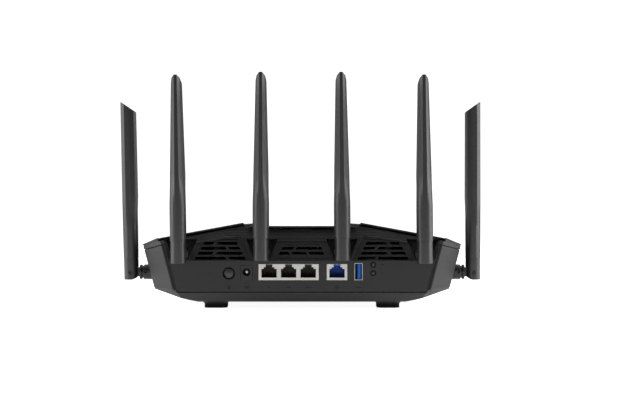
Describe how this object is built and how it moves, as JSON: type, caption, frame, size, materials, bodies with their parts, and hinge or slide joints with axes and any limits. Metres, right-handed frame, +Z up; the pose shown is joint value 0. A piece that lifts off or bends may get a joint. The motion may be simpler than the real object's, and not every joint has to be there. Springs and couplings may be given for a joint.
{
  "type": "wireless router",
  "caption": "Low faceted wireless router with a rear connector panel, rear vent bays, floating top plates and folding swivel antennas around its rear and sides.",
  "frame": {"origin": "on the desk surface under the middle of the router's outline, antennas upright", "axes": "+X to the right seen from behind, where the connectors are; +Y from the connector panel to the nose; +Z up"},
  "size_m": [0.2931, 0.1671, 0.1838],
  "materials": {
    "case": "matt moulded ABS",
    "cover": "fine textured ABS",
    "panel": "fine textured ABS",
    "plate": "satin ABS",
    "badge": "satin paint",
    "rubber": "soft rubber",
    "screw": "zinc plated",
    "board": "solder mask",
    "aluminium": "extruded",
    "heatsink": "black anodised",
    "hinge_pin": "black oxide",
    "pad": "soft thermal pad",
    "can": "tin plated",
    "connector_metal": "nickel plated",
    "connector_black": "moulded",
    "connector_blue": "moulded",
    "gold": "gold flashed",
    "light_guide": "clear acrylic",
    "hinge": "satin nylon",
    "antenna_base": "fine textured ABS",
    "antenna": "fine textured ABS",
    "radiator": "copper on laminate",
    "coax": "jacketed cable",
    "button": "satin ABS"
  },
  "bodies": {
    "case_body": {"bottom_case": "case", "top_cover": "cover", "io_panel": "panel", "left_wing_plate": "plate", "right_wing_plate": "plate", "centre_plate": "plate", "badge": "badge", "rubber_feet": "rubber", "case_screws": "screw", "main_board": "board", "board_screws": "screw", "heatsink": "heatsink", "heat_spreader": "aluminium", "thermal_pads": "pad", "shield_cans": "can", "lan_shield": "connector_metal", "lan_housing": "connector_black", "wan_shield": "connector_metal", "wan_housing": "connector_blue", "jack_contacts": "gold", "usb_shell": "connector_metal", "usb_tongue": "connector_blue", "usb_body": "connector_black", "inlet_body": "connector_black", "inlet_pin": "connector_metal", "power_switch": "connector_black", "switch_board": "board", "light_guide": "light_guide", "status_leds": "light_guide", "antenna_sockets": "hinge", "socket_pins": "hinge_pin", "coax_cables": "coax", "coax_plugs": "gold"},
    "power_button_body": {"power_button": "button"},
    "wps_button_body": {"wps_button": "button"},
    "reset_button_body": {"reset_button": "button"},
    "swivel_1": {"antenna_1_swivel": "hinge"},
    "antenna_1": {"antenna_1_base": "antenna_base", "antenna_1_cover": "antenna", "antenna_1_radiator": "radiator"},
    "swivel_2": {"antenna_2_swivel": "hinge"},
    "antenna_2": {"antenna_2_base": "antenna_base", "antenna_2_cover": "antenna", "antenna_2_radiator": "radiator"},
    "swivel_3": {"antenna_3_swivel": "hinge"},
    "antenna_3": {"antenna_3_base": "antenna_base", "antenna_3_cover": "antenna", "antenna_3_radiator": "radiator"},
    "swivel_4": {"antenna_4_swivel": "hinge"},
    "antenna_4": {"antenna_4_base": "antenna_base", "antenna_4_cover": "antenna", "antenna_4_radiator": "radiator"},
    "swivel_5": {"antenna_5_swivel": "hinge"},
    "antenna_5": {"antenna_5_base": "antenna_base", "antenna_5_cover": "antenna", "antenna_5_radiator": "radiator"},
    "swivel_6": {"antenna_6_swivel": "hinge"},
    "antenna_6": {"antenna_6_base": "antenna_base", "antenna_6_cover": "antenna", "antenna_6_radiator": "radiator"}
  },
  "joints": [
    {"name": "power_button_press", "type": "slide", "parent": "case_body", "child": "power_button_body", "axis": [0, 1, 0], "range_m": [0, 0.0015], "stiffness_N_per_m": 400},
    {"name": "wps_button_press", "type": "slide", "parent": "case_body", "child": "wps_button_body", "axis": [0, 1, 0], "range_m": [0, 0.0008], "stiffness_N_per_m": 400},
    {"name": "reset_button_press", "type": "slide", "parent": "case_body", "child": "reset_button_body", "axis": [0, 1, 0], "range_m": [0, 0.0008], "stiffness_N_per_m": 400},
    {"name": "antenna_1_turn", "type": "hinge", "parent": "case_body", "child": "swivel_1", "pos_m": [-0.1389, -0.0224, 0.0272], "axis": [-1, 0, 0], "range_deg": [-90, 90]},
    {"name": "antenna_1_fold", "type": "hinge", "parent": "swivel_1", "child": "antenna_1", "pos_m": [-0.1389, -0.0224, 0.0272], "axis": [0, -1, 0], "range_deg": [-1.2, 88.8]},
    {"name": "antenna_2_turn", "type": "hinge", "parent": "case_body", "child": "swivel_2", "pos_m": [-0.0948, -0.0774, 0.0431], "axis": [0, -1, 0], "range_deg": [-20, 90]},
    {"name": "antenna_2_fold", "type": "hinge", "parent": "swivel_2", "child": "antenna_2", "pos_m": [-0.0948, -0.0774, 0.0431], "axis": [0.9999, 0, 0.014], "range_deg": [0, 90]},
    {"name": "antenna_3_turn", "type": "hinge", "parent": "case_body", "child": "swivel_3", "pos_m": [-0.0314, -0.0774, 0.0452], "axis": [0, -1, 0], "range_deg": [-20, 20]},
    {"name": "antenna_3_fold", "type": "hinge", "parent": "swivel_3", "child": "antenna_3", "pos_m": [-0.0314, -0.0774, 0.0452], "axis": [1, 0, 0], "range_deg": [0, 90]},
    {"name": "antenna_4_turn", "type": "hinge", "parent": "case_body", "child": "swivel_4", "pos_m": [0.0314, -0.0774, 0.0452], "axis": [0, -1, 0], "range_deg": [-20, 20]},
    {"name": "antenna_4_fold", "type": "hinge", "parent": "swivel_4", "child": "antenna_4", "pos_m": [0.0314, -0.0774, 0.0452], "axis": [1, 0, 0.0087], "range_deg": [0, 90]},
    {"name": "antenna_5_turn", "type": "hinge", "parent": "case_body", "child": "swivel_5", "pos_m": [0.0948, -0.0774, 0.0431], "axis": [0, -1, 0], "range_deg": [-90, 20]},
    {"name": "antenna_5_fold", "type": "hinge", "parent": "swivel_5", "child": "antenna_5", "pos_m": [0.0948, -0.0774, 0.0431], "axis": [1, 0, 0.0087], "range_deg": [0, 90]},
    {"name": "antenna_6_turn", "type": "hinge", "parent": "case_body", "child": "swivel_6", "pos_m": [0.1389, -0.0224, 0.0272], "axis": [1, 0, 0], "range_deg": [-90, 90]},
    {"name": "antenna_6_fold", "type": "hinge", "parent": "swivel_6", "child": "antenna_6", "pos_m": [0.1389, -0.0224, 0.0272], "axis": [0, 1, 0], "range_deg": [0, 90]}
  ]
}
